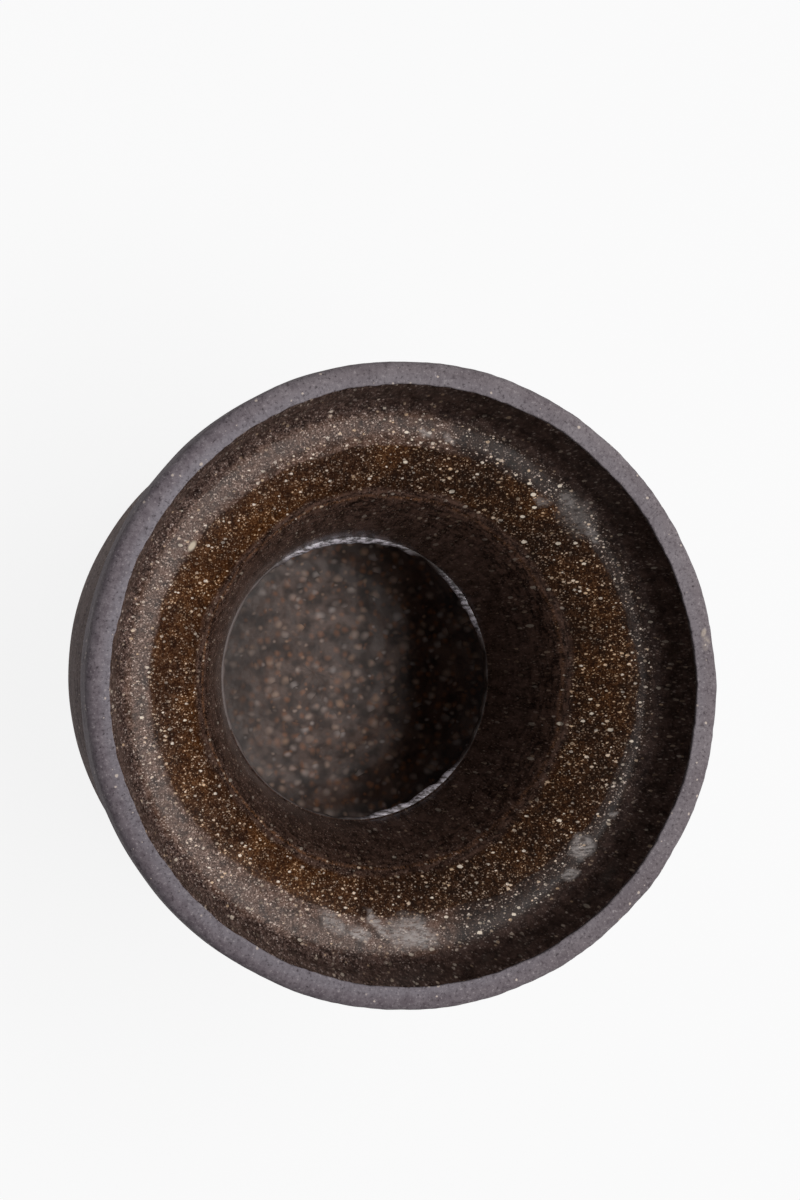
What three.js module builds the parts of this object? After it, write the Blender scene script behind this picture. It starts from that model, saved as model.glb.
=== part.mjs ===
// A stoneware vase with a dish-shaped mouth, a narrow throat and a round belly.
// It is thrown in two halves that are luted together at the throat with slip.
// A coil of clay makes the mouth's collar, another the foot ring, and a glaze lines the inside.
// Millimetres, +Z up. The origin is the middle of the foot, on the surface that the vase stands on.
import * as THREE from "three";

// Overall form. A depth is measured down from the flat top of the rim.
// A height is measured up from the surface that the vase stands on.
const height = 96;
const mouthRadius = 60;
const rimWidth = 4.4;
const throatRadius = 27.9;
const throatDepth = 45;

// Mouth: an upright collar over a shallow dish, with a shelf that rolls over into the throat.
// The heel is where the corner under the collar flattens out into the shelf.
const collarHeight = 9;
const collarLean = 2.1;
const collarStep = 1.3;
const rimRound = 2;
const cornerInset = 3.2;
const cornerDepth = 11.9;
const heelWidth = 1.2;
const heelDepth = 12.15;
const shelfWidth = 5.6;
const shelfDepth = 12.9;

// Belly: the round chamber under the throat.
const chamberRadius = 49.2;
const chamberHeight = 23;
const floorRadius = 24;
const floorWall = 4.8;

// How the curves swell between those places: shares of the way inwards or outwards, and down.
const funnelCurve = [
  [0.25, 0.065],
  [0.44, 0.137],
  [0.6, 0.24],
  [0.73, 0.42],
  [0.88, 0.69],
];
const shoulderCurve = [
  [0.46, 0.41],
  [0.86, 0.68],
];
const bellyCurve = [
  [0.07, 0.355],
  [0.325, 0.726],
  [0.643, 0.935],
];

// Walls, glaze and joints.
const wall = 4.8;
const coat = 0.6;
const poolDepth = 1.2;
const bond = 0.1;
const seamHeight = 1.8;
const beadNose = 1;
const lipHeight = 0.8;

// Foot ring.
const footHeight = 4;
const footRadius = 39;
const footWidth = 6;
const footRound = 1.2;

// Smoothness of the turned surfaces.
const turnSteps = 40;
const spanSteps = 2;
const roundSteps = 4;

// Places that follow from the sizes above.
const clayOffset = coat + bond;
const outerOffset = clayOffset + wall;
const rimInner = mouthRadius - rimWidth;
const seamTop = height - throatDepth + seamHeight / 2;
const seamBottom = seamTop - seamHeight;
const floorZ = footHeight + floorWall + poolDepth;
const clayFloorZ = floorZ - poolDepth - bond;

// A point of a profile: its radius, and its depth below the rim.
const at = (radius, depth) => new THREE.Vector2(radius, height - depth);

// The points at the given shares of the way from one point to another.
function between(from, to, shares) {
  return shares.map(
    ([across, down]) =>
      new THREE.Vector2(
        THREE.MathUtils.lerp(from.x, to.x, across),
        THREE.MathUtils.lerp(from.y, to.y, down),
      ),
  );
}

// A smooth line through the given points.
function smooth(points) {
  const spans = points.length - 1;
  return new THREE.SplineCurve(points).getPoints(spans * spanSteps);
}

// An arc of a profile, with its angles in degrees from the outward direction, turning upwards.
function arc(radius, z, size, from, to) {
  const line = [];
  for (let i = 0; i <= roundSteps; i++) {
    const angle = THREE.MathUtils.degToRad(from + ((to - from) * i) / roundSteps);
    line.push(new THREE.Vector2(radius + size * Math.cos(angle), z + size * Math.sin(angle)));
  }
  return line;
}

// The line moved outwards, square to itself. The line runs downwards.
function moved(line, distance) {
  return line.map((point, i) => {
    const before = line[Math.max(i - 1, 0)];
    const after = line[Math.min(i + 1, line.length - 1)];
    const along = after.clone().sub(before).normalize();
    return new THREE.Vector2(point.x - along.y * distance, point.y + along.x * distance);
  });
}

// The line with its two ends set on the heights of the faces that close it.
function endedAt(line, topZ, bottomZ) {
  const ended = line.map((point) => point.clone());
  ended[0].y = topZ;
  ended[ended.length - 1].y = bottomZ;
  return ended;
}

const reversed = (line) => [...line].reverse();

// A ring turned from a closed profile: up its outer line and down its inner line.
function turned(name, outerUp, innerDown, material) {
  const profile = [...outerUp, ...innerDown];
  const reachesAxis = innerDown[innerDown.length - 1].x === 0;
  if (!reachesAxis) profile.push(profile[0].clone());
  const geometry = new THREE.LatheGeometry(profile, turnSteps).rotateX(Math.PI / 2);
  const mesh = new THREE.Mesh(geometry, material);
  mesh.name = name;
  return mesh;
}

const bareClay = new THREE.MeshStandardMaterial({ color: 0x746c6f, roughness: 0.85 });
const slip = new THREE.MeshStandardMaterial({ color: 0x4d403c, roughness: 0.5 });
const glaze = new THREE.MeshStandardMaterial({ color: 0x3f2a1c, roughness: 0.35 });

// The glazed surface that shows inside the mouth, from under the collar to the throat.
const underCollar = at(rimInner - collarLean, collarHeight);
const corner = at(rimInner - cornerInset, cornerDepth);
const heel = at(corner.x - heelWidth, heelDepth);
const shelf = at(corner.x - shelfWidth, shelfDepth);
const throat = at(throatRadius, throatDepth);
const mouthLine = smooth([
  underCollar,
  corner,
  heel,
  shelf,
  ...between(shelf, throat, funnelCurve),
  throat,
]);

// The glazed surface of the chamber, from the throat to the edge of the floor.
const belly = new THREE.Vector2(chamberRadius, chamberHeight);
const floorEdge = new THREE.Vector2(floorRadius, floorZ);
const chamberLine = smooth([
  throat,
  ...between(throat, belly, shoulderCurve),
  belly,
  ...between(belly, floorEdge, bellyCurve),
  floorEdge,
]);

// The coil round the mouth, with its flat top bare of glaze.
function mouthCollar() {
  const lip = height - lipHeight;
  const bottom = height - collarHeight;
  const outer = [
    new THREE.Vector2(mouthRadius - collarStep, bottom),
    new THREE.Vector2(mouthRadius, bottom + collarStep / 2),
    ...arc(mouthRadius - rimRound, height - rimRound, rimRound, 0, 90),
  ];
  const inner = [
    new THREE.Vector2(rimInner, height),
    new THREE.Vector2(rimInner, lip),
    new THREE.Vector2(rimInner + clayOffset, lip),
    new THREE.Vector2(underCollar.x + clayOffset, bottom),
  ];
  return turned("mouth_collar", outer, inner, bareClay);
}

// The thrown upper half: dish, shelf and funnel.
function upperBowl() {
  const top = height - collarHeight;
  const inner = endedAt(moved(mouthLine, clayOffset), top, seamTop);
  const outer = endedAt(moved(mouthLine, outerOffset), top, seamTop);
  inner[0].x = underCollar.x + clayOffset;
  outer[0].x = mouthRadius - collarStep;
  return turned("upper_bowl", reversed(outer), inner, bareClay);
}

// The slip that was squeezed out where the two halves meet.
function throatSeam() {
  const middle = (seamTop + seamBottom) / 2;
  const outer = throatRadius + outerOffset;
  const halfHeight = seamHeight / 2;
  const nose = arc(0, middle, halfHeight, 90, 270).map(
    (point) => new THREE.Vector2(throatRadius + (point.x * beadNose) / halfHeight, point.y),
  );
  const outerUp = [new THREE.Vector2(outer, seamBottom), new THREE.Vector2(outer, seamTop)];
  return turned("throat_slip_seam", outerUp, nose, slip);
}

// The thrown lower half: shoulder, belly and floor.
function lowerBody() {
  const inner = endedAt(moved(chamberLine, clayOffset), seamBottom, clayFloorZ);
  const outer = endedAt(moved(chamberLine, outerOffset), seamBottom, footHeight);
  inner[0].x = throatRadius + clayOffset;
  outer[0].x = throatRadius + outerOffset;
  const aboveFoot = outer.filter((point) => point.y > belly.y || point.x > footRadius);
  const outerUp = [
    new THREE.Vector2(0, footHeight),
    new THREE.Vector2(footRadius, footHeight),
    ...reversed(aboveFoot),
  ];
  const innerDown = [...inner, new THREE.Vector2(0, clayFloorZ)];
  return turned("lower_body", outerUp, innerDown, bareClay);
}

// The coil that the vase stands on.
function footRing() {
  const inner = footRadius - footWidth;
  const outer = [
    ...arc(footRadius - footRound, footRound, footRound, -90, 0),
    new THREE.Vector2(footRadius, footHeight),
  ];
  const innerDown = [
    new THREE.Vector2(inner, footHeight),
    ...reversed(arc(inner + footRound, footRound, footRound, 270, 180)),
  ];
  return turned("foot_ring", outer, innerDown, bareClay);
}

// The coat on the collar's inner wall, the dish, the shelf and the funnel.
function mouthGlaze() {
  const lipUnder = height - lipHeight - bond;
  const bottom = height - collarHeight;
  const inner = [new THREE.Vector2(rimInner, lipUnder), ...endedAt(mouthLine, bottom, seamTop)];
  const outer = [
    new THREE.Vector2(rimInner + coat, lipUnder),
    ...endedAt(moved(mouthLine, coat), bottom, seamTop),
  ];
  return turned("mouth_glaze", reversed(outer), inner, glaze);
}

// The coat on the wall of the chamber.
function chamberGlaze() {
  const inner = endedAt(chamberLine, seamBottom, floorZ);
  const outer = endedAt(moved(chamberLine, coat), seamBottom, floorZ);
  return turned("chamber_glaze", reversed(outer), inner, glaze);
}

// The thicker glass that ran down and pooled on the floor.
function floorGlaze() {
  const top = floorZ - bond;
  const bottom = floorZ - poolDepth;
  const outer = [
    new THREE.Vector2(0, bottom),
    new THREE.Vector2(floorRadius - poolDepth, bottom),
    new THREE.Vector2(floorRadius, top),
  ];
  return turned("floor_glaze_pool", outer, [new THREE.Vector2(0, top)], glaze);
}

const vase = new THREE.Group();
vase.add(mouthCollar(), upperBowl(), throatSeam(), lowerBody(), footRing());
vase.add(mouthGlaze(), chamberGlaze(), floorGlaze());

export default vase;
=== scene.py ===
"""A stoneware vase with a dish-shaped mouth, a narrow throat and a round belly.

The clay is bare outside and on the rim, and glazed inside. Every piece is turned from a profile
in millimetres, with +Z up and the origin at the middle of the foot, as in the frame.
"""

import math

import bpy
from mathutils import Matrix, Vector, noise


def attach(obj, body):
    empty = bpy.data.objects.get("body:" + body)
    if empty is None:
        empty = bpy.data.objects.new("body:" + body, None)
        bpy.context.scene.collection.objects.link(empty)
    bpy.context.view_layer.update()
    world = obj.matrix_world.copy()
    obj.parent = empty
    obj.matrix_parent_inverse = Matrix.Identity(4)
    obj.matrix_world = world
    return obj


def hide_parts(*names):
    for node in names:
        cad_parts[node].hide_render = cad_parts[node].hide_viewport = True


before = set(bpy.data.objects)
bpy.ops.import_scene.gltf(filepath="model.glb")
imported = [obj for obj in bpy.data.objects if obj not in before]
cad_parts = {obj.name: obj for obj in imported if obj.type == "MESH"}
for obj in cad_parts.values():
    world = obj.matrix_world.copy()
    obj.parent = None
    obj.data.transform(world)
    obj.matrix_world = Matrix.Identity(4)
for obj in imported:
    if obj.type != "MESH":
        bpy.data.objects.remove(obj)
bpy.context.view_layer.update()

MM = 0.001

# Driving sizes, in millimetres. A depth is measured down from the flat top of the rim, and a height
# up from the surface that the vase stands on.
HEIGHT = 96.0
MOUTH_RADIUS = 60.0
RIM_WIDTH = 4.4
THROAT_RADIUS = 27.9
THROAT_DEPTH = 45.0
COLLAR_HEIGHT = 9.0
COLLAR_LEAN = 2.1
COLLAR_STEP = 1.3
RIM_ROUND = 2.0
RIM_INNER_ROUND = 0.3
SHELF_WIDTH = 5.6
SHELF_DEPTH = 12.9
CHAMBER_RADIUS = 49.2
CHAMBER_HEIGHT = 23.0
FLOOR_RADIUS = 24.0
FLOOR_WALL = 4.8
WALL = 4.8
COAT = 0.6
POOL_DEPTH = 1.2
BOND = 0.1
SEAM_HEIGHT = 1.8
BEAD_NOSE = 1.0
LIP_HEIGHT = 0.8
FOOT_HEIGHT = 4.0
FOOT_RADIUS = 39.0
FOOT_WIDTH = 6.0
FOOT_ROUND = 1.2

# The corner under the collar, and the heel where it flattens out. They are rounder than the solids'.
CORNER_INSET = 3.2
CORNER_DEPTH = 10.95
HEEL_WIDTH = 1.9
HEEL_DEPTH = 12.1

# The pool's surface: how far up the wall its skin climbs and how thin that is, how round its edge
# is, and how far it stands up in the middle.
POOL_CLIMB = 7.0
POOL_SKIN = 0.03
MENISCUS = 0.8
MENISCUS_SLOPE = 0.35
POOL_SWELL = 0.25
POOL_SWELL_RADIUS = 20.0

# How the curves swell: shares of the way across and down, from one place to the next.
FUNNEL_CURVE = [(0.25, 0.065), (0.44, 0.137), (0.6, 0.24), (0.73, 0.42), (0.88, 0.69)]
SHOULDER_CURVE = [(0.46, 0.41), (0.86, 0.68)]
BELLY_CURVE = [(0.07, 0.355), (0.325, 0.726), (0.643, 0.935)]

# Fineness of the turned meshes. A line that another piece covers has few steps.
TURNS = 600
OPEN_STEPS = 12
COVERED_STEPS = 4
ROUND_STEPS = 8
SIDE_STEPS = 10
RIM_STEPS = 8
BAND_STEPS = 16
POOL_STEPS = 24

# Places that follow from the sizes.
CLAY_OFFSET = COAT + BOND
OUTER_OFFSET = CLAY_OFFSET + WALL
RIM_INNER = MOUTH_RADIUS - RIM_WIDTH
SEAM_TOP = HEIGHT - THROAT_DEPTH + SEAM_HEIGHT / 2
SEAM_BOTTOM = SEAM_TOP - SEAM_HEIGHT
COLLAR_BOTTOM = HEIGHT - COLLAR_HEIGHT
FLOOR_Z = FOOT_HEIGHT + FLOOR_WALL + POOL_DEPTH
CLAY_FLOOR_Z = FLOOR_Z - POOL_DEPTH - BOND


# Profiles: lists of (radius, z).

def at(radius, depth):
    """A point of a profile from its radius and its depth below the rim."""
    return (radius, HEIGHT - depth)


def between(start, end, shares):
    """The points at the given shares of the way from one point to another."""
    return [
        (start[0] + (end[0] - start[0]) * across, start[1] + (end[1] - start[1]) * down)
        for across, down in shares
    ]


def spline(points, span_steps):
    """A smooth line through the points, with so many steps from each to the next."""
    line = []
    spans = len(points) - 1
    for step in range(spans * span_steps + 1):
        place = step / span_steps
        i = min(int(place), spans - 1)
        t = place - i
        p1, p2 = points[i], points[i + 1]
        p0 = points[i - 1] if i > 0 else p1
        p3 = points[i + 2] if i + 2 <= spans else p2
        line.append(tuple(
            b + 0.5 * t * (c - a + t * (2 * a - 5 * b + 4 * c - d + t * (3 * (b - c) + d - a)))
            for a, b, c, d in zip(p0, p1, p2, p3)
        ))
    return line


def arc(radius, z, size, start, end):
    """An arc with its angles in degrees from the outward direction, turning upwards."""
    angles = [math.radians(start + (end - start) * i / ROUND_STEPS) for i in range(ROUND_STEPS + 1)]
    return [(radius + size * math.cos(a), z + size * math.sin(a)) for a in angles]


def moved(line, distance):
    """The line moved outwards, square to itself. The line runs downwards."""
    result = []
    last = len(line) - 1
    for i, (r, z) in enumerate(line):
        before, after = line[max(i - 1, 0)], line[min(i + 1, last)]
        dr, dz = after[0] - before[0], after[1] - before[1]
        length = math.hypot(dr, dz)
        result.append((r - dz / length * distance, z + dr / length * distance))
    return result


def ended_at(line, top, bottom):
    """The line with its two ends set on the heights of the faces that close it."""
    return [(line[0][0], top)] + line[1:-1] + [(line[-1][0], bottom)]


def stepped(start, end, steps):
    """A straight run of points from start to end, without the end itself."""
    return between(start, end, [(i / steps, i / steps) for i in range(steps)])


UNDER_COLLAR = at(RIM_INNER - COLLAR_LEAN, COLLAR_HEIGHT)
CORNER = at(RIM_INNER - CORNER_INSET, CORNER_DEPTH)
HEEL = at(CORNER[0] - HEEL_WIDTH, HEEL_DEPTH)
SHELF = at(CORNER[0] - SHELF_WIDTH, SHELF_DEPTH)
THROAT = at(THROAT_RADIUS, THROAT_DEPTH)
BELLY = (CHAMBER_RADIUS, CHAMBER_HEIGHT)
FLOOR_EDGE = (FLOOR_RADIUS, FLOOR_Z)
MOUTH_POINTS = [
    UNDER_COLLAR,
    CORNER,
    HEEL,
    SHELF,
    *between(SHELF, THROAT, FUNNEL_CURVE),
    THROAT,
]
CHAMBER_POINTS = [
    THROAT,
    *between(THROAT, BELLY, SHOULDER_CURVE),
    BELLY,
    *between(BELLY, FLOOR_EDGE, BELLY_CURVE),
    FLOOR_EDGE,
]
MOUTH_OPEN = spline(MOUTH_POINTS, OPEN_STEPS)
MOUTH_COVERED = spline(MOUTH_POINTS, COVERED_STEPS)
CHAMBER_OPEN = spline(CHAMBER_POINTS, OPEN_STEPS)
CHAMBER_COVERED = spline(CHAMBER_POINTS, COVERED_STEPS)


# Hand-made irregularity, the same field for every piece, so the layers stay nested.

# Waves round the pot: how many, how high in millimetres and where they start. Those of the rim
# fade downwards into those of the throat, and the throat's fade downwards into a round belly.
RIM_WAVES = [(1, 0.18, 1.91), (2, 0.38, 2.79), (3, 0.14, -3.1)]
THROAT_WAVES = [(2, 0.45, -1.57), (3, 0.1, 0.6)]

# Dents in the walls, and the grooves of the throwing: pitch, depth and start. Both die away near
# the foot, from twice CALM_BELOW down to it, and within CALM_ABOVE of the rim's top, where the
# rim's own wear takes over.
UNDULATION = 0.2
UNDULATION_LENGTH = 11.0
GROOVES = [(1.9, 0.008, 0.0), (3.1, 0.015, 1.3), (5.7, 0.035, 2.9)]
CALM_BELOW = 1.5
CALM_ABOVE = 3.0

# The rim's edges, torn finely and cut flat here and there, and the lumps of the bead.
RAGGED = 0.2
RAGGED_LENGTH = 1.6
FACET = 0.35
FACET_LENGTH = 7.0
BEAD_LUMP = 0.5
BEAD_LUMPS = 9

# Where the bead stands proud, and where its painted highlights lie: middles and half widths in degrees.
# Elsewhere only a share is left.
BEAD_SWELLS = [(95, 34), (34, 19), (-64, 28)]
BEAD_REST = 0.4


def calm(z):
    """0 on the foot and on the rim, 1 on the walls between them."""
    return max(0.0, min(1.0, z / CALM_BELOW - 1, (HEIGHT - z) / CALM_ABOVE))


def waves(table, angle):
    """How far the waves push outwards at an angle."""
    return sum(high * math.sin(count * angle + start) for count, high, start in table)


def proud(angle):
    """How far the bead stands out at an angle, from its rest to 1."""
    swells = [BEAD_REST]
    for middle, half in BEAD_SWELLS:
        away = (math.degrees(angle) - middle + 180) % 360 - 180
        swells.append(1 - (away / half) ** 2 * (1 - BEAD_REST))
    return max(swells)


def bead_shift(radius, z, angle):
    """How far the lumps of the bead, and its low stretches, push a point of its nose outwards."""
    if abs(z - THROAT[1]) >= SEAM_HEIGHT:
        return 0.0
    share = max(0.0, THROAT_RADIUS - radius) / BEAD_NOSE
    around = Vector((math.cos(angle), math.sin(angle), 0.0)) * BEAD_LUMPS
    return share * (BEAD_LUMP * noise.noise(around) + BEAD_NOSE * (1 - proud(angle)))


def formed(radius, z, angle):
    """The place of a profile point on the thrown pot, in metres."""
    x, y = radius * math.cos(angle), radius * math.sin(angle)
    spot = Vector((x, y, z))
    share = radius / MOUTH_RADIUS
    near_rim = max(0.0, 1 - (HEIGHT - z) / CALM_ABOVE)
    upper = max(0.0, min(1.0, (z - THROAT[1]) / THROAT_DEPTH))
    lower = max(0.0, 1 - abs(z - THROAT[1]) / THROAT_DEPTH)
    out = upper * waves(RIM_WAVES, angle) * share + lower * waves(THROAT_WAVES, angle)
    out += near_rim * share * RAGGED * noise.noise(spot / RAGGED_LENGTH)
    out += near_rim * share * FACET * noise.noise(spot / FACET_LENGTH)
    out += bead_shift(radius, z, angle)
    swell = share * UNDULATION * noise.noise(spot / UNDULATION_LENGTH)
    for pitch, depth, phase in GROOVES:
        swell += share * depth * math.sin(2 * math.pi * (z - radius) / pitch + angle + phase)
    swell *= calm(z)
    r = radius + out + swell
    return (r * math.cos(angle) * MM, r * math.sin(angle) * MM, (z + swell) * MM)


def turned(name, profile):
    """A closed mesh turned from a profile that closes on itself or ends on the axis."""
    on_axis = profile[0][0] == 0
    vertices = []
    rings = []
    for radius, z in profile:
        if radius == 0:
            vertices.append((0, 0, z * MM))
            rings.append([len(vertices) - 1] * TURNS)
            continue
        start = len(vertices)
        vertices += [formed(radius, z, 2 * math.pi * j / TURNS) for j in range(TURNS)]
        rings.append(list(range(start, start + TURNS)))
    faces = []
    pairs = list(zip(rings, rings[1:]))
    if not on_axis:
        pairs.append((rings[-1], rings[0]))
    for lower, upper in pairs:
        for j in range(TURNS):
            k = (j + 1) % TURNS
            corners = dict.fromkeys((lower[j], lower[k], upper[k], upper[j]))
            faces.append(tuple(corners))
    mesh = bpy.data.meshes.new(name)
    mesh.from_pydata(vertices, [], faces)
    mesh.shade_smooth()
    piece = bpy.data.objects.new(name, mesh)
    bpy.context.scene.collection.objects.link(piece)
    return piece


def reverse(line):
    return line[::-1]


def mouth_collar():
    """The coil round the mouth, with its flat top bare of glaze."""
    lip = HEIGHT - LIP_HEIGHT
    lower_round = COLLAR_STEP / 2
    side_low = (MOUTH_RADIUS, COLLAR_BOTTOM + lower_round)
    side_high = (MOUTH_RADIUS, HEIGHT - RIM_ROUND)
    outer = [
        (MOUTH_RADIUS - COLLAR_STEP, COLLAR_BOTTOM),
        *arc(MOUTH_RADIUS - lower_round, COLLAR_BOTTOM + lower_round, lower_round, -90, 0),
        *stepped(side_low, side_high, SIDE_STEPS)[1:],
        *arc(MOUTH_RADIUS - RIM_ROUND, HEIGHT - RIM_ROUND, RIM_ROUND, 0, 90),
    ]
    flat_inner = RIM_INNER + RIM_INNER_ROUND
    flat = stepped((MOUTH_RADIUS - RIM_ROUND, HEIGHT), (flat_inner, HEIGHT), RIM_STEPS)[1:]
    inner = [
        *arc(flat_inner, HEIGHT - RIM_INNER_ROUND, RIM_INNER_ROUND, 90, 180),
        (RIM_INNER, lip),
        (RIM_INNER + CLAY_OFFSET, lip),
        (UNDER_COLLAR[0] + CLAY_OFFSET, COLLAR_BOTTOM),
    ]
    return turned("mouth_collar_clay", outer + flat + inner)


def upper_bowl():
    """The thrown upper half: dish, shelf and funnel."""
    inner = ended_at(moved(MOUTH_COVERED, CLAY_OFFSET), COLLAR_BOTTOM, SEAM_TOP)
    inner[0] = (UNDER_COLLAR[0] + CLAY_OFFSET, COLLAR_BOTTOM)
    outer = ended_at(moved(MOUTH_OPEN, OUTER_OFFSET), COLLAR_BOTTOM, SEAM_TOP)
    outer[0] = (MOUTH_RADIUS - COLLAR_STEP, COLLAR_BOTTOM)
    return turned("upper_bowl_clay", reverse(outer) + inner)


def throat_seam():
    """The slip that was squeezed out where the two halves meet."""
    middle = (SEAM_TOP + SEAM_BOTTOM) / 2
    outer = THROAT_RADIUS + OUTER_OFFSET
    half_height = SEAM_HEIGHT / 2
    nose = [
        (THROAT_RADIUS + r * BEAD_NOSE / half_height, z)
        for r, z in arc(0, middle, half_height, 90, 270)
    ]
    return turned("throat_slip_bead", [(outer, SEAM_BOTTOM), (outer, SEAM_TOP)] + nose)


def lower_body():
    """The thrown lower half: shoulder, belly and floor."""
    inner = ended_at(moved(CHAMBER_COVERED, CLAY_OFFSET), SEAM_BOTTOM, CLAY_FLOOR_Z)
    outer = ended_at(moved(CHAMBER_OPEN, OUTER_OFFSET), SEAM_BOTTOM, FOOT_HEIGHT)
    inner[0] = (THROAT_RADIUS + CLAY_OFFSET, SEAM_BOTTOM)
    outer[0] = (THROAT_RADIUS + OUTER_OFFSET, SEAM_BOTTOM)
    above_foot = [(r, z) for r, z in outer if z > CHAMBER_HEIGHT or r > FOOT_RADIUS]
    foot_face = [(0, FOOT_HEIGHT), (FOOT_RADIUS, FOOT_HEIGHT)]
    return turned("lower_body_clay", foot_face + reverse(above_foot) + inner + [(0, CLAY_FLOOR_Z)])


def foot_ring():
    """The coil that the vase stands on."""
    inner = FOOT_RADIUS - FOOT_WIDTH
    outer = [*arc(FOOT_RADIUS - FOOT_ROUND, FOOT_ROUND, FOOT_ROUND, -90, 0), (FOOT_RADIUS, FOOT_HEIGHT)]
    inner_down = [
        (inner, FOOT_HEIGHT),
        *reverse(arc(inner + FOOT_ROUND, FOOT_ROUND, FOOT_ROUND, 270, 180)),
    ]
    return turned("foot_ring_clay", outer + inner_down)


def mouth_glaze():
    """The coat on the collar's inner wall, the dish, the shelf and the funnel."""
    lip_under = HEIGHT - LIP_HEIGHT - BOND
    inner = stepped((RIM_INNER, lip_under), UNDER_COLLAR, BAND_STEPS)
    inner += ended_at(MOUTH_OPEN, COLLAR_BOTTOM, SEAM_TOP)
    outer = [(RIM_INNER + COAT, lip_under)]
    outer += ended_at(moved(MOUTH_COVERED, COAT), COLLAR_BOTTOM, SEAM_TOP)
    return turned("mouth_glaze_coat", reverse(outer) + inner)


def chamber_glaze():
    """The coat on the wall of the chamber."""
    inner = ended_at(CHAMBER_OPEN, SEAM_BOTTOM, FLOOR_Z)
    outer = ended_at(moved(CHAMBER_COVERED, COAT), SEAM_BOTTOM, FLOOR_Z)
    return turned("chamber_glaze_coat", reverse(outer) + inner)


def meniscus(height):
    """The height of the pooled glass where the wall, or its line carried on, has the given height."""
    return 0.5 * (height + math.hypot(height, MENISCUS))


def pool_height(radius):
    """How high the pool's surface stands above the floor's height, at a radius inside its edge."""
    middle_rise = POOL_SWELL * max(0.0, 1 - (radius / POOL_SWELL_RADIUS) ** 2)
    return meniscus((radius - FLOOR_RADIUS) * MENISCUS_SLOPE) + middle_rise


def floor_glaze():
    """The thicker glass that pooled on the floor, with a thin edge that climbs the wall."""
    bottom = FLOOR_Z - POOL_DEPTH
    climb = [(r, z) for r, z in CHAMBER_OPEN if z < FLOOR_Z + POOL_CLIMB]
    level = [FLOOR_RADIUS * (1 - i / POOL_STEPS) for i in range(1, POOL_STEPS + 1)]
    skin = [(r, FLOOR_Z + meniscus(z - FLOOR_Z)) for r, z in climb]
    skin += [(r, FLOOR_Z + pool_height(r)) for r in level]
    outer = [(0, bottom), (FLOOR_RADIUS - POOL_DEPTH, bottom), (FLOOR_RADIUS, FLOOR_Z - BOND)]
    under = reverse(moved(climb, POOL_SKIN))
    return turned("floor_glaze_pool_glass", outer + under[1:] + skin)


# Materials.

# Where the glaze changes, from the wall inwards: radii in millimetres, and how far each change
# spreads to either side. The shelf's edge is a little oval.
WALL_EDGE = 51.2
WALL_FADE = 0.9
SHELF_EDGE = 46.0
SHELF_FADE = 0.35
SHELF_OVAL = (-0.7, -0.3, -1.5)
SLOPE_EDGE = 37.3
SLOPE_FADE = 0.7
DUST_RING = 35.8
DUST_RING_WIDTH = 0.5

# How far those edges and the ring of dust sway in and out.
EDGE_WAVER = 4.0
RING_WAVER = 2.0

# The heights above the throat between which the funnel's glaze turns into streaks.
STREAKS_START = 28
STREAKS_FULL = 7

# The sides, as directions from the axis, of the rim's painted light, sheen and shade, of the painted
# sheen, light and shade of the glazes and the bead, and of the painted shade on clay and glaze. Towards
# its lit side the glaze gets its painted sheen, and its painted light and shade, between the distances
# of each pair below.
RIM_LIT_SIDE = (-0.92, -0.39, 0.0)
LIT_SIDE = (-1.0, 0.0, 0.0)
SHADED_SIDE = (-0.34, -0.94, 0.0)
SHEEN_START = -15.0
SHEEN_FULL = -8.0
LIGHT_START = -25.0
LIGHT_FULL = 30.0

# The scale of the grains' pattern up and down, less than 1, so that it is drawn out on the wall.
DRAWN_DOWN = 0.22

# Pale grey smears on the shelf: x, y, length, width, tilt in degrees, and how much they cover. One pale
# grit and two light marks on the rim are given the same way.
PALE_SMEARS = [
    (29.4, 34.9, 4.0, 2.6, -30, 0.4),
    (33.8, 35.3, 5.0, 3.6, -60, 0.3),
    (39.3, 28.0, 5.6, 2.2, -57, 0.5),
    (36.0, 32.0, 12.0, 9.0, -50, 0.22),
    (6.0, 47.5, 5.0, 2.4, -20, 0.5),
    (10.5, 46.4, 4.0, 2.0, -40, 0.4),
    (-3.4, -45.4, 8.0, 2.8, -51, 0.8),
    (-6.9, -47.0, 6.0, 3.4, -35, 0.8),
    (3.2, -47.2, 13.0, 8.0, -10, 0.7),
    (-12.0, -44.8, 9.0, 4.0, -45, 0.55),
    (36.9, -31.9, 7.0, 5.5, 30, 0.7),
    (34.6, -36.8, 5.0, 2.6, 20, 0.65),
    (43.4, -25.6, 2.8, 1.7, 40, 0.6),
]
PALE_GRIT = (-38.7, 25.8, 2.9, 1.6, 55, 1.0)
RIM_SPOTS = [(57.2, 9.6, 2.4, 1.4, 70, 0.7), (57.7, 7.6, 3.4, 2.2, 80, 0.7)]


def srgb(red, green, blue):
    """A linear colour from its 0 to 255 screen values."""
    def linear(value):
        value /= 255
        return value / 12.92 if value <= 0.04045 else ((value + 0.055) / 1.055) ** 2.4
    return (linear(red), linear(green), linear(blue), 1.0)


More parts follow.
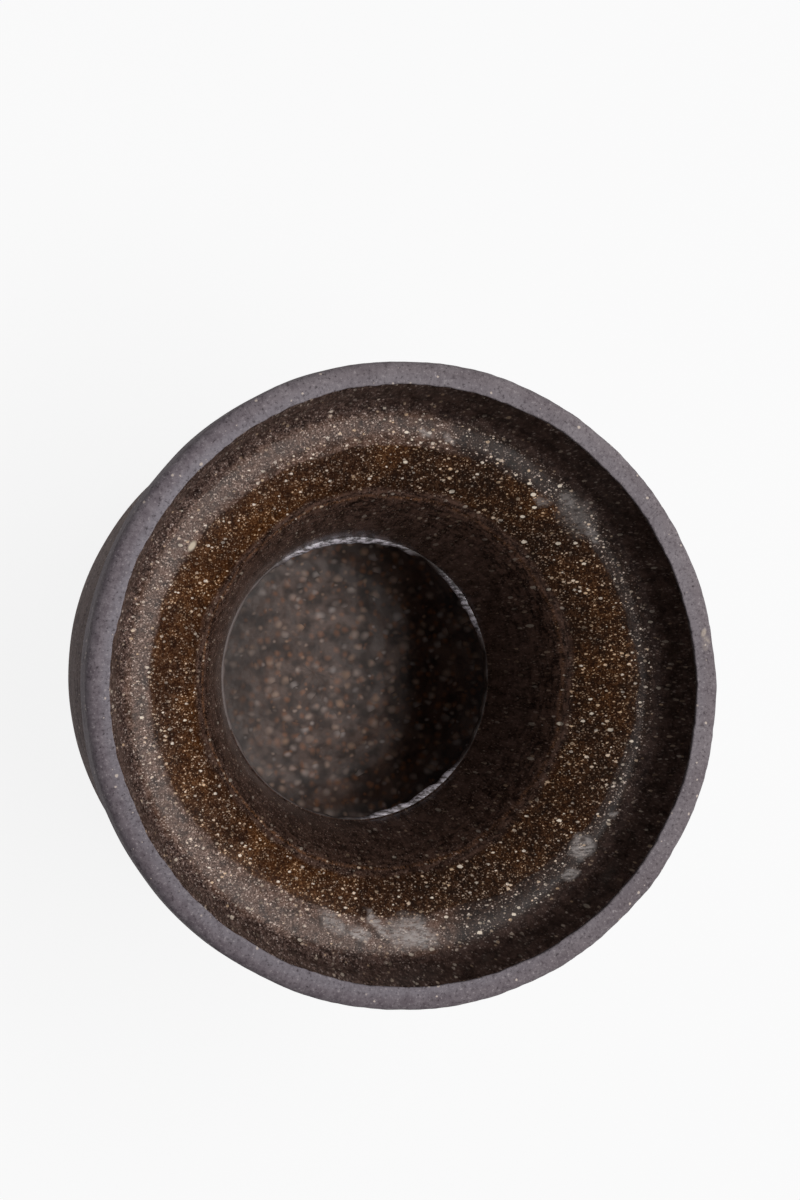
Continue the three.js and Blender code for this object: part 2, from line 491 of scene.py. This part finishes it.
class Shading:
    """A material's nodes, added one by one."""

    def __init__(self, name):
        self.material = bpy.data.materials.new(name)
        self.material.use_nodes = True
        self.tree = self.material.node_tree
        self.surface = self.tree.nodes["Principled BSDF"]

    def add(self, kind, inputs=None, **settings):
        node = self.tree.nodes.new(kind)
        for setting, value in settings.items():
            setattr(node, setting, value)
        for name, value in (inputs or {}).items():
            self.join(value, node.inputs[name])
        return node

    def join(self, value, socket):
        if isinstance(value, bpy.types.NodeSocket):
            self.tree.links.new(value, socket)
        else:
            socket.default_value = value

    def maths(self, operation, *values):
        return self.add("ShaderNodeMath", dict(enumerate(values)), operation=operation).outputs[0]

    def ramp(self, value, low, high, to_low=0.0, to_high=1.0):
        """A smooth step between two values."""
        inputs = {
            "Value": value, "From Min": low, "From Max": high, "To Min": to_low, "To Max": to_high,
        }
        return self.add("ShaderNodeMapRange", inputs, interpolation_type="SMOOTHSTEP").outputs[0]

    def mix(self, share, first, second):
        node = self.add("ShaderNodeMix", data_type="RGBA")
        self.join(share, node.inputs[0])
        self.join(first, node.inputs[6])
        self.join(second, node.inputs[7])
        return node.outputs[2]

    def place(self):
        return self.add("ShaderNodeTexCoord").outputs["Object"]

    def noise(self, place, scale, detail=3.0, roughness=0.55):
        inputs = {"Vector": place, "Scale": scale, "Detail": detail, "Roughness": roughness}
        return self.add("ShaderNodeTexNoise", inputs).outputs["Fac"]

    def jittered(self, place, scale, distance):
        """The place moved a little by noise, so that grains lose their round outlines."""
        colour = self.add("ShaderNodeTexNoise", {"Vector": place, "Scale": scale, "Detail": 1.0})
        inputs = {0: colour.outputs["Color"], 1: (0.5, 0.5, 0.5)}
        centred = self.add("ShaderNodeVectorMath", inputs, operation="SUBTRACT").outputs[0]
        shift = self.add("ShaderNodeVectorMath", {0: centred, "Scale": distance}, operation="SCALE")
        return self.add("ShaderNodeVectorMath", {0: place, 1: shift.outputs[0]}).outputs[0]

    def specks(self, place, spacing, smallest, largest, softness, rarity=2.0):
        """Grains of many sizes in metres, 1 inside and 0 outside, and a random share for each."""
        cells = self.add("ShaderNodeTexVoronoi", {"Vector": place, "Scale": 1 / spacing})
        lots = self.add("ShaderNodeSeparateColor", {"Color": cells.outputs["Color"]}).outputs
        lot = self.maths("POWER", lots[0], rarity)
        size = self.maths("MULTIPLY_ADD", lot, (largest - smallest) / spacing, smallest / spacing)
        core = self.maths("MULTIPLY", size, 1 - softness)
        inputs = {
            "Value": cells.outputs["Distance"], "From Min": core, "From Max": size,
            "To Min": 1.0, "To Max": 0.0,
        }
        grain = self.add("ShaderNodeMapRange", inputs, interpolation_type="SMOOTHSTEP").outputs[0]
        return grain, lots[1]

    def flat_place(self, place):
        """The place without its height, and the height."""
        parts = self.add("ShaderNodeSeparateXYZ", {"Vector": place}).outputs
        flat = self.add("ShaderNodeCombineXYZ", {"X": parts[0], "Y": parts[1], "Z": 0.0}).outputs[0]
        return flat, parts[2]

    def length(self, vector):
        return self.add("ShaderNodeVectorMath", {0: vector}, operation="LENGTH").outputs["Value"]

    def outward(self, flat):
        """The direction from the axis to the place."""
        return self.add("ShaderNodeVectorMath", {0: flat}, operation="NORMALIZE").outputs[0]

    def towards(self, place, direction):
        """How far the place lies along a direction."""
        inputs = {0: place, 1: direction}
        return self.add("ShaderNodeVectorMath", inputs, operation="DOT_PRODUCT").outputs["Value"]

    def oval(self, flat, amounts):
        """What is added to a radius: so much towards +X, towards +Y, and along X against along Y."""
        x, y, _ = self.add("ShaderNodeSeparateXYZ", {"Vector": self.outward(flat)}).outputs
        along_x, along_y, stretch = (amount * MM for amount in amounts)
        total = self.maths("MULTIPLY_ADD", x, along_x, self.maths("MULTIPLY", y, along_y))
        stretched = self.maths("SUBTRACT", self.maths("MULTIPLY", x, x), self.maths("MULTIPLY", y, y))
        return self.maths("MULTIPLY_ADD", stretched, stretch, total)

    def patch(self, flat, spot, texture):
        """A soft-edged smear, broken up by a texture."""
        x, y, length, width, tilt, amount = spot
        inputs = {
            "Vector": flat, "Location": (x * MM, y * MM, 0), "Rotation": (0, 0, math.radians(tilt)),
            "Scale": (length / 2 * MM, width / 2 * MM, 1),
        }
        away = self.length(self.add("ShaderNodeMapping", inputs, vector_type="TEXTURE").outputs[0])
        near = self.ramp(away, 1.0, 0.35)
        broken = self.maths("MULTIPLY", near, self.ramp(texture, 0.36, 0.6, 0.15, 1.0))
        return self.maths("MULTIPLY", broken, amount)

    def drawn_out(self, place, tilt, slimness, height=1.0):
        """The place in a frame turned about Z, in which grains are slimmer than they are long."""
        inputs = {
            "Vector": place, "Rotation": (0, 0, math.radians(tilt)), "Scale": (1, slimness, height),
        }
        return self.add("ShaderNodeMapping", inputs).outputs[0]

    def round_about(self, flat, middle, half):
        """1 round the middle angle, fading to 0 at so many degrees on either side."""
        middle, half = math.radians(middle), math.radians(half)
        along = self.towards(self.outward(flat), (math.cos(middle), math.sin(middle), 0))
        return self.ramp(along, math.cos(half), math.cos(half * 0.4))

    def zoned(self, shares, colours):
        """The first colour, covered by each next one as its share says."""
        colour = colours[0]
        for share, cover in zip(shares, colours[1:]):
            colour = self.mix(share, colour, cover)
        return colour

    def on_drum(self, flat, height, around, down):
        """The place moved out to a drum, so that a pattern keeps its angle at every radius."""
        turn = self.add("ShaderNodeSeparateXYZ", {"Vector": self.outward(flat)}).outputs
        return self.add("ShaderNodeCombineXYZ", {
            "X": self.maths("MULTIPLY", turn[0], around),
            "Y": self.maths("MULTIPLY", turn[1], around),
            "Z": self.maths("MULTIPLY", height, down),
        }).outputs[0]

    def rings(self, place, scale, around, fall=1.0):
        """Noise drawn out round the axis, as a wheel leaves it, without a seam."""
        flat, height = self.flat_place(place)
        inputs = {
            "Vector": self.on_drum(flat, height, around, scale * fall),
            "W": self.maths("MULTIPLY", self.length(flat), scale),
            "Scale": 1.0, "Detail": 2.0, "Roughness": 0.6,
        }
        return self.add("ShaderNodeTexNoise", inputs, noise_dimensions="4D").outputs["Fac"]

    def runs(self, place, around, down):
        """Noise drawn out downwards, as glaze runs."""
        flat, height = self.flat_place(place)
        return self.noise(self.on_drum(flat, height, around, down), 1.0, 3.0, 0.6)

    def bump(self, height, strength, distance):
        inputs = {"Height": height, "Strength": strength, "Distance": distance}
        return self.add("ShaderNodeBump", inputs).outputs["Normal"]


def bare_clay():
    """Unglazed stoneware: grey with a purple cast, fine grain and a few pale grits, with painted light,
    sheen and shade on the rim.
    """
    shading = Shading("bare_stoneware")
    place = shading.place()
    flat, height = shading.flat_place(place)
    radius = shading.length(flat)
    thin = shading.ramp(shading.towards(flat, RIM_LIT_SIDE), -45 * MM, 45 * MM)
    top = shading.ramp(height, (HEIGHT - 1.6) * MM, (HEIGHT - 0.6) * MM)
    side = shading.maths("SUBTRACT", 1.0, top)
    below_collar = shading.ramp(height, COLLAR_BOTTOM * MM, (COLLAR_BOTTOM - 4) * MM)
    broad = shading.noise(place, 70, 3)
    mottle = shading.noise(place, 480, 3, 0.6)
    grain = shading.noise(place, 1700, 3, 0.75)
    lines = shading.rings(place, 1300, 9)
    scratches = shading.rings(place, 350, 130)
    colour = shading.mix(shading.ramp(broad, 0.35, 0.65), srgb(122, 112, 115), srgb(138, 129, 132))
    colour = shading.mix(below_collar, colour, srgb(142, 127, 122))
    inner_half = shading.ramp(radius, (MOUTH_RADIUS - 1.6) * MM, (RIM_INNER + 0.6) * MM)
    on_inner_half = shading.maths("MULTIPLY", inner_half, top)
    on_outer_half = shading.maths("SUBTRACT", top, on_inner_half)
    # Painted light: the rim's top is paler towards its lit side.
    painted_rim_light = shading.maths("MULTIPLY", top, shading.ramp(thin, 0.2, 0.9, 0.15, 0.6))
    colour = shading.mix(painted_rim_light, colour, srgb(150, 140, 146))
    # Painted sheen: the rim's inner half turns cool and pale towards its lit side, as a reflection of
    # the room.
    painted_rim_sheen = shading.maths("MULTIPLY", on_inner_half, shading.ramp(thin, 0.2, 0.9, 0.2, 0.5))
    colour = shading.mix(painted_rim_sheen, colour, srgb(148, 144, 152))
    # Painted shade: the clay darkens towards its shaded side.
    near = shading.ramp(shading.towards(flat, SHADED_SIDE), -20 * MM, 50 * MM, 0.0, 0.3)
    colour = shading.mix(near, colour, srgb(96, 85, 90))
    # Painted shade: on the rim's lit side its rounded outer half, which faces away from the lamp, is
    # darkened in mottled patches.
    shaded = shading.maths("MULTIPLY", on_outer_half, shading.ramp(thin, 0.3, 0.9, 0.0, 0.5))
    shaded = shading.maths("MULTIPLY", shaded, shading.ramp(mottle, 0.38, 0.6, 0.3, 1.0))
    colour = shading.mix(shaded, colour, srgb(88, 76, 84))
    colour = shading.mix(shading.ramp(mottle, 0.5, 0.72, 0.0, 0.4), colour, srgb(90, 79, 85))
    side_lines = shading.maths("MULTIPLY", shading.ramp(lines, 0.48, 0.72, 0.0, 0.5), side)
    colour = shading.mix(side_lines, colour, srgb(70, 61, 62))
    top_scratches = shading.maths("MULTIPLY", shading.ramp(scratches, 0.5, 0.75, 0.0, 0.35), top)
    colour = shading.mix(top_scratches, colour, srgb(88, 80, 84))
    colour = shading.mix(shading.ramp(grain, 0.53, 0.72, 0.0, 0.85), colour, srgb(56, 47, 50))
    colour = shading.mix(shading.ramp(grain, 0.44, 0.27, 0.0, 0.75), colour, srgb(184, 175, 176))
    ragged = shading.jittered(place, 2500, 0.3 * MM)
    pale, _ = shading.specks(ragged, 1.7 * MM, 0.02 * MM, 0.4 * MM, 0.4)
    colour = shading.mix(shading.maths("MULTIPLY", pale, 0.85), colour, srgb(220, 204, 192))
    ragged_flat, _ = shading.flat_place(ragged)
    for spot in RIM_SPOTS:
        mark = shading.maths("MULTIPLY", shading.patch(ragged_flat, spot, mottle), top)
        colour = shading.mix(mark, colour, srgb(200, 184, 170))
    surface = shading.surface
    shading.join(colour, surface.inputs["Base Color"])
    surface.inputs["Roughness"].default_value = 0.8
    surface.inputs["Specular IOR Level"].default_value = 0.3
    relief = shading.maths("MULTIPLY_ADD", lines, 0.7, grain)
    shading.join(shading.bump(relief, 0.6, 0.12 * MM), surface.inputs["Normal"])
    return shading.material


def slip():
    """The bead of slip under its glaze: grey-brown, with painted light on its lit side and painted
    highlights, pale streaks, where it stands proud.
    """
    shading = Shading("glazed_slip")
    place = shading.place()
    flat, _ = shading.flat_place(place)
    broad = shading.noise(place, 260, 4, 0.65)
    strokes = shading.noise(shading.drawn_out(place, 60, 3.0), 620, 4, 0.7)
    colour = shading.mix(shading.ramp(broad, 0.35, 0.65), srgb(40, 32, 30), srgb(78, 66, 62))
    # Painted light: the bead is paler towards its lit side.
    left = shading.ramp(shading.towards(flat, LIT_SIDE), 12 * MM, 26 * MM, 0.0, 0.6)
    colour = shading.mix(left, colour, srgb(128, 114, 110))
    # Painted highlights: pale shiny streaks where the bead stands proud.
    streaks_and_glints = 0.0
    for middle, half in BEAD_SWELLS:
        streaks_and_glints = shading.maths("MAXIMUM", streaks_and_glints, shading.round_about(flat, middle, half))
    streaks_and_glints = shading.maths("MULTIPLY", streaks_and_glints, shading.ramp(strokes, 0.42, 0.6, 0.08, 1.0))
    colour = shading.mix(streaks_and_glints, colour, srgb(214, 206, 214))
    surface = shading.surface
    shading.join(colour, surface.inputs["Base Color"])
    surface.inputs["Specular IOR Level"].default_value = 0.5
    shading.join(shading.ramp(streaks_and_glints, 0.0, 0.8, 0.55, 0.22), surface.inputs["Roughness"])
    shading.join(shading.bump(broad, 0.8, 0.6 * MM), surface.inputs["Normal"])
    return shading.material


def speckled(shading, place, ground, dull, bright, dusty, grainy):
    """Powder and dust of tones between a dull and a bright one, and cream flecks, over the ground."""
    place = shading.jittered(shading.drawn_out(place, 0, 1.0, DRAWN_DOWN), 2600, 0.3 * MM)
    clumping = shading.noise(place, 640, 3, 0.65)
    clumps = shading.ramp(clumping, 0.36, 0.6, 0.3, 1.0)
    gaps = shading.ramp(clumping, 0.52, 0.36, 0.0, 0.5)
    powder = shading.ramp(shading.noise(place, 2500, 3, 0.75), 0.4, 0.66)
    powder = shading.maths("MULTIPLY", powder, clumps)
    leaning = shading.drawn_out(place, 35, 1.6)
    crossing = shading.drawn_out(place, 118, 1.5)
    fine, fine_tint = shading.specks(place, 0.38 * MM, 0.02 * MM, 0.2 * MM, 0.5, 1.6)
    dust, dust_tint = shading.specks(leaning, 0.56 * MM, 0.0, 0.3 * MM, 0.35, 2.0)
    grains, grain_tint = shading.specks(crossing, 1.1 * MM, 0.0, 0.46 * MM, 0.25, 2.2)
    large, _ = shading.specks(leaning, 2.6 * MM, 0.0, 0.64 * MM, 0.25, 2.7)
    fine_colour = shading.mix(shading.ramp(fine_tint, 0.0, 1.0, 0.0, 0.6), dull, bright)
    dust_colour = shading.mix(shading.ramp(dust_tint, 0.0, 1.0, 0.3, 1.0), dull, bright)
    grain_colour = shading.mix(grain_tint, srgb(232, 196, 158), srgb(255, 240, 224))
    colour = shading.mix(gaps, ground, srgb(24, 14, 10))
    colour = shading.mix(shading.maths("MULTIPLY", powder, dusty), colour, dull)
    colour = shading.mix(shading.maths("MULTIPLY", fine, dusty), colour, fine_colour)
    clumped = shading.maths("MULTIPLY", grainy, clumps)
    colour = shading.mix(shading.maths("MULTIPLY", dust, clumped), colour, dust_colour)
    colour = shading.mix(shading.maths("MULTIPLY", grains, clumped), colour, grain_colour)
    return shading.mix(shading.maths("MULTIPLY", large, grainy), colour, srgb(250, 234, 214))


def glaze():
    """Iron glaze over speckled clay: dark on the wall, grey-brown on the shelf, amber on the slope;
    with painted sheen, light and shade.
    """
    shading = Shading("brown_glaze")
    place = shading.place()
    flat, height = shading.flat_place(place)
    radius = shading.length(flat)
    # Share towards the lit side, for the painted light and shade below.
    lit = shading.ramp(shading.towards(flat, LIT_SIDE), LIGHT_START * MM, LIGHT_FULL * MM)
    cloud = shading.noise(place, 420, 4, 0.65)
    patchy = shading.noise(place, 150, 4, 0.65)
    broad = shading.noise(place, 62, 3, 0.6)
    grit = shading.noise(shading.drawn_out(place, 0, 1.0, DRAWN_DOWN), 2100, 3, 0.75)
    strokes = shading.rings(place, 1900, 15, DRAWN_DOWN)
    drips = shading.runs(place, 16, 90)
    sway = shading.maths("SUBTRACT", shading.noise(place, 95, 4), 0.5)
    edge = shading.maths("MULTIPLY_ADD", sway, EDGE_WAVER * MM, radius)
    shelf_edge = shading.maths("ADD", edge, shading.oval(flat, SHELF_OVAL))
    slope = shading.ramp(edge, (SLOPE_EDGE - SLOPE_FADE) * MM, (SLOPE_EDGE + SLOPE_FADE) * MM)
    shelf = shading.ramp(shelf_edge, (SHELF_EDGE - SHELF_FADE) * MM, (SHELF_EDGE + SHELF_FADE) * MM)
    wall = shading.ramp(edge, (WALL_EDGE - WALL_FADE) * MM, (WALL_EDGE + WALL_FADE) * MM)
    zones = (slope, shelf, wall)
    # Share of the painted sheen, towards the lit side.
    painted_sheen = shading.ramp(shading.towards(flat, LIT_SIDE), SHEEN_START * MM, SHEEN_FULL * MM)
    deep = shading.ramp(height, (THROAT[1] + STREAKS_START) * MM, (THROAT[1] + STREAKS_FULL) * MM)
    clouded = shading.ramp(cloud, 0.3, 0.7)
    rich = shading.ramp(shading.maths("MULTIPLY_ADD", patchy, 0.7, broad), 0.66, 1.02)
    streaks_and_glints = shading.ramp(shading.maths("MULTIPLY_ADD", strokes, 1.2, grit), 0.92, 1.32)
    dripping = shading.ramp(drips, 0.39, 0.65)
    dripping = shading.maths("MULTIPLY_ADD", streaks_and_glints, 0.45, shading.maths("MULTIPLY", dripping, 0.55))
    funnel = shading.mix(streaks_and_glints, srgb(29, 18, 13), srgb(106, 79, 67))
    # Painted light and shade: the deep funnel's ground is lighter on its shaded side and darker on its
    # lit side.
    deep_ground = shading.mix(lit, srgb(38, 26, 21), srgb(18, 11, 8))
    deep_funnel = shading.mix(dripping, deep_ground, srgb(112, 88, 80))
    funnel = shading.mix(deep, funnel, deep_funnel)
    # Painted shade: the funnel darkens towards its shaded side.
    near = shading.ramp(shading.towards(flat, SHADED_SIDE), -30 * MM, 30 * MM, 0.0, 0.4)
    funnel = shading.mix(near, funnel, srgb(26, 13, 7))
    # Painted light and shade: lit and shaded copies of the amber ground.
    plain = shading.mix(lit, srgb(28, 12, 3), srgb(42, 18, 4))
    warm = shading.mix(lit, srgb(42, 18, 3), srgb(58, 27, 4))
    amber = shading.mix(rich, plain, warm)
    # Painted sheen: the shelf's grey is lighter towards its lit side, in place of the lamp's
    # reflection.
    shade_grey = shading.mix(clouded, srgb(28, 18, 14), srgb(50, 36, 30))
    sheen_grey = shading.mix(clouded, srgb(48, 27, 15), srgb(86, 57, 41))
    grey = shading.mix(painted_sheen, shade_grey, sheen_grey)
    # Painted light and shade: lit and shaded copies of the wall's dark glaze, lighter on the shaded
    # side.
    shade_dark = shading.mix(clouded, srgb(38, 26, 23), srgb(74, 56, 50))
    light_dark = shading.mix(clouded, srgb(26, 15, 12), srgb(64, 46, 41))
    dark = shading.mix(lit, shade_dark, light_dark)
    ground = shading.zoned(zones, [funnel, amber, grey, dark])
    golden = shading.mix(rich, srgb(104, 74, 54), srgb(122, 82, 50))
    # Painted sheen on the shelf's dust: paler towards the lit side.
    greyish = shading.mix(painted_sheen, srgb(98, 74, 62), srgb(156, 128, 115))
    dull = shading.zoned(zones, [srgb(100, 77, 67), golden, greyish, srgb(142, 117, 107)])
    cream = shading.mix(rich, srgb(232, 206, 184), srgb(246, 206, 164))
    brights = [srgb(180, 156, 144), cream, srgb(255, 232, 216), srgb(224, 204, 194)]
    bright = shading.zoned(zones, brights)
    ring_edge = shading.maths("MULTIPLY_ADD", sway, RING_WAVER * MM, radius)
    ring_offset = shading.maths("ABSOLUTE", shading.maths("SUBTRACT", ring_edge, DUST_RING * MM))
    ring = shading.ramp(ring_offset, DUST_RING_WIDTH * MM, 0.0)
    dull = shading.mix(ring, dull, srgb(150, 104, 72))
    # Dust is denser towards the lit side, and dust and grains are sparser on the shaded wall.
    dusty = shading.ramp(patchy, 0.32, 0.62, 0.6, 1.0)
    dusty = shading.maths("MULTIPLY", dusty, shading.ramp(lit, 0.0, 1.0, 0.6, 1.0))
    shaded_wall = shading.maths("MULTIPLY", wall, shading.maths("SUBTRACT", 1.0, lit))
    dusty = shading.maths("MULTIPLY", dusty, shading.ramp(shaded_wall, 0.0, 1.0, 1.0, 0.35))
    grainy = shading.maths("MAXIMUM", shading.ramp(slope, 0.0, 1.0, 0.3, 1.0), ring)
    grainy = shading.maths("MULTIPLY", grainy, shading.ramp(wall, 0.0, 1.0, 1.0, 0.7))
    grainy = shading.maths("MULTIPLY", grainy, shading.ramp(shaded_wall, 0.0, 1.0, 1.0, 0.45))
    grainy = shading.maths("MULTIPLY", grainy, shading.ramp(patchy, 0.36, 0.56, 0.4, 1.0))
    colour = speckled(shading, place, ground, dull, bright, dusty, grainy)
    ragged, _ = shading.flat_place(shading.jittered(place, 420, 2.4 * MM))
    smeared = shading.noise(shading.drawn_out(place, -50, 3.0), 620, 4, 0.75)
    for spot in PALE_SMEARS:
        colour = shading.mix(shading.patch(ragged, spot, smeared), colour, srgb(184, 175, 171))
    colour = shading.mix(shading.patch(flat, PALE_GRIT, 1.0), colour, srgb(214, 198, 176))
    surface = shading.surface
    shading.join(colour, surface.inputs["Base Color"])
    surface.inputs["Specular IOR Level"].default_value = 0.18
    rough = shading.maths("MULTIPLY_ADD", shelf, 0.09, shading.ramp(patchy, 0.36, 0.6, 0.17, 0.27))
    shading.join(rough, surface.inputs["Roughness"])
    relief = shading.maths("MULTIPLY_ADD", strokes, 0.2, cloud)
    relief = shading.maths("MULTIPLY_ADD", grit, 0.3, relief)
    shading.join(shading.bump(relief, 0.5, 0.12 * MM), surface.inputs["Normal"])
    return shading.material


def pool_glass():
    """The glaze of the chamber and of the pool on its floor, with its soft, sunken specks."""
    shading = Shading("pooled_glaze")
    place = shading.place()
    flat, _ = shading.flat_place(place)
    cloud = shading.noise(place, 110, 3, 0.6)
    fine = shading.noise(place, 300, 2, 0.5)
    turning = shading.rings(place, 420, 4)
    colour = shading.mix(shading.ramp(cloud, 0.3, 0.7), srgb(88, 61, 48), srgb(136, 106, 92))
    colour = shading.mix(shading.ramp(fine, 0.4, 0.72, 0.0, 0.75), colour, srgb(48, 32, 24))
    colour = shading.mix(shading.ramp(turning, 0.45, 0.7, 0.0, 0.5), colour, srgb(46, 32, 26))
    ragged = shading.jittered(place, 420, 1.1 * MM)
    rust, _ = shading.specks(ragged, 1.9 * MM, 0.5 * MM, 1.25 * MM, 1.0, 1.0)
    leaning = shading.drawn_out(ragged, 25, 1.15)
    pale, tint = shading.specks(leaning, 2.3 * MM, 0.5 * MM, 1.6 * MM, 1.0, 1.2)
    colour = shading.mix(shading.maths("MULTIPLY", rust, 0.6), colour, srgb(186, 120, 76))
    blot = shading.mix(tint, srgb(214, 166, 130), srgb(214, 198, 192))
    colour = shading.mix(shading.maths("MULTIPLY", pale, 0.8), colour, blot)
    # Painted shade: the pool is darker towards its lit side, where the lamp falls through the throat.
    left = shading.ramp(shading.towards(flat, LIT_SIDE), 0.0, 20 * MM, 0.0, 0.8)
    colour = shading.mix(left, colour, srgb(44, 31, 25))
    surface = shading.surface
    shading.join(colour, surface.inputs["Base Color"])
    surface.inputs["Specular IOR Level"].default_value = 0.2
    shading.join(shading.ramp(fine, 0.35, 0.65, 0.26, 0.36), surface.inputs["Roughness"])
    relief = shading.maths("MULTIPLY_ADD", fine, 0.3, cloud)
    relief = shading.maths("MULTIPLY_ADD", turning, 0.15, relief)
    shading.join(shading.bump(relief, 0.3, 0.7 * MM), surface.inputs["Normal"])
    return shading.material


# The camera, the light and the surface that the vase stands on.

CAMERA_PLACE = (-0.11175, 0.0158, 0.5228)
CAMERA_TILT = -14.38
LENS = 72.0
SENSOR = 36.0


def camera():
    data = bpy.data.cameras.new("camera")
    data.lens = LENS
    data.sensor_width = SENSOR
    data.dof.use_dof = False
    holder = bpy.data.objects.new("camera", data)
    holder.location = CAMERA_PLACE
    holder.rotation_euler = (0, math.radians(CAMERA_TILT), 0)
    bpy.context.scene.collection.objects.link(holder)
    bpy.context.scene.camera = holder


LAMP_PLACE = (0.466, 0.05, 1.112)
LAMP_AIM = (-0.047, 0.05, 0.083)
LAMP_SIZE = (1.15, 0.681)
LAMP_POWER = 10.3
ROOM_LIGHT = 0.15


def lamp():
    """One large soft lamp, high up on the right."""
    data = bpy.data.lights.new("key", "AREA")
    data.shape = "RECTANGLE"
    data.size, data.size_y = LAMP_SIZE
    data.energy = LAMP_POWER
    holder = bpy.data.objects.new("key", data)
    holder.location = LAMP_PLACE
    aim = Vector(LAMP_AIM) - Vector(LAMP_PLACE)
    holder.rotation_euler = aim.to_track_quat("-Z", "Y").to_euler()
    bpy.context.scene.collection.objects.link(holder)


def room():
    """A dim, even room whose walls look white to the camera."""
    world = bpy.data.worlds.new("soft_room")
    world.use_nodes = True
    tree = world.node_tree
    background = tree.nodes["Background"]
    background.inputs["Color"].default_value = (0.96, 0.97, 1.0, 1.0)
    rays = tree.nodes.new("ShaderNodeLightPath").outputs
    strength = tree.nodes.new("ShaderNodeMapRange")
    strength.inputs["To Min"].default_value = ROOM_LIGHT
    strength.inputs["To Max"].default_value = 1.0
    tree.links.new(rays["Is Camera Ray"], strength.inputs["Value"])
    tree.links.new(strength.outputs[0], background.inputs["Strength"])
    bpy.context.scene.world = world


FLOOR_HALF = 1.5
FLOOR_GLOW = 0.88


def floor():
    """A white table that keeps the vase's shadow and looks nearly as pale as the room."""
    mesh = bpy.data.meshes.new("table")
    h = FLOOR_HALF
    mesh.from_pydata([(-h, -h, 0), (h, -h, 0), (h, h, 0), (-h, h, 0)], [], [(0, 1, 2, 3)])
    table = bpy.data.objects.new("table", mesh)
    bpy.context.scene.collection.objects.link(table)
    shading = Shading("white_table")
    surface = shading.surface
    surface.inputs["Base Color"].default_value = (0.9, 0.9, 0.91, 1)
    surface.inputs["Roughness"].default_value = 0.9
    glow = shading.add("ShaderNodeEmission", {"Color": (1.0, 1.0, 1.0, 1), "Strength": 1.0})
    rays = shading.add("ShaderNodeLightPath").outputs
    seen = shading.maths("MAXIMUM", rays["Is Camera Ray"], rays["Is Glossy Ray"])
    seen = shading.maths("MAXIMUM", seen, rays["Is Transmission Ray"])
    share = shading.maths("MULTIPLY", seen, FLOOR_GLOW)
    mixer = shading.add("ShaderNodeMixShader", {0: share})
    shading.tree.links.new(surface.outputs[0], mixer.inputs[1])
    shading.tree.links.new(glow.outputs[0], mixer.inputs[2])
    output = shading.tree.nodes["Material Output"]
    shading.tree.links.new(mixer.outputs[0], output.inputs["Surface"])
    mesh.materials.append(shading.material)


def dress(piece, node, material):
    """Gives a piece its material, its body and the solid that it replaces."""
    piece.data.materials.append(material)
    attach(piece, "root")
    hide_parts(node)


clay_material = bare_clay()
slip_material = slip()
glaze_material = glaze()
pool_material = pool_glass()
dress(mouth_collar(), "mouth_collar", clay_material)
dress(upper_bowl(), "upper_bowl", clay_material)
dress(throat_seam(), "throat_slip_seam", slip_material)
dress(lower_body(), "lower_body", clay_material)
dress(foot_ring(), "foot_ring", clay_material)
dress(mouth_glaze(), "mouth_glaze", glaze_material)
dress(chamber_glaze(), "chamber_glaze", pool_material)
dress(floor_glaze(), "floor_glaze_pool", pool_material)

camera()
lamp()
room()
floor()
bpy.context.scene.view_settings.view_transform = "Standard"
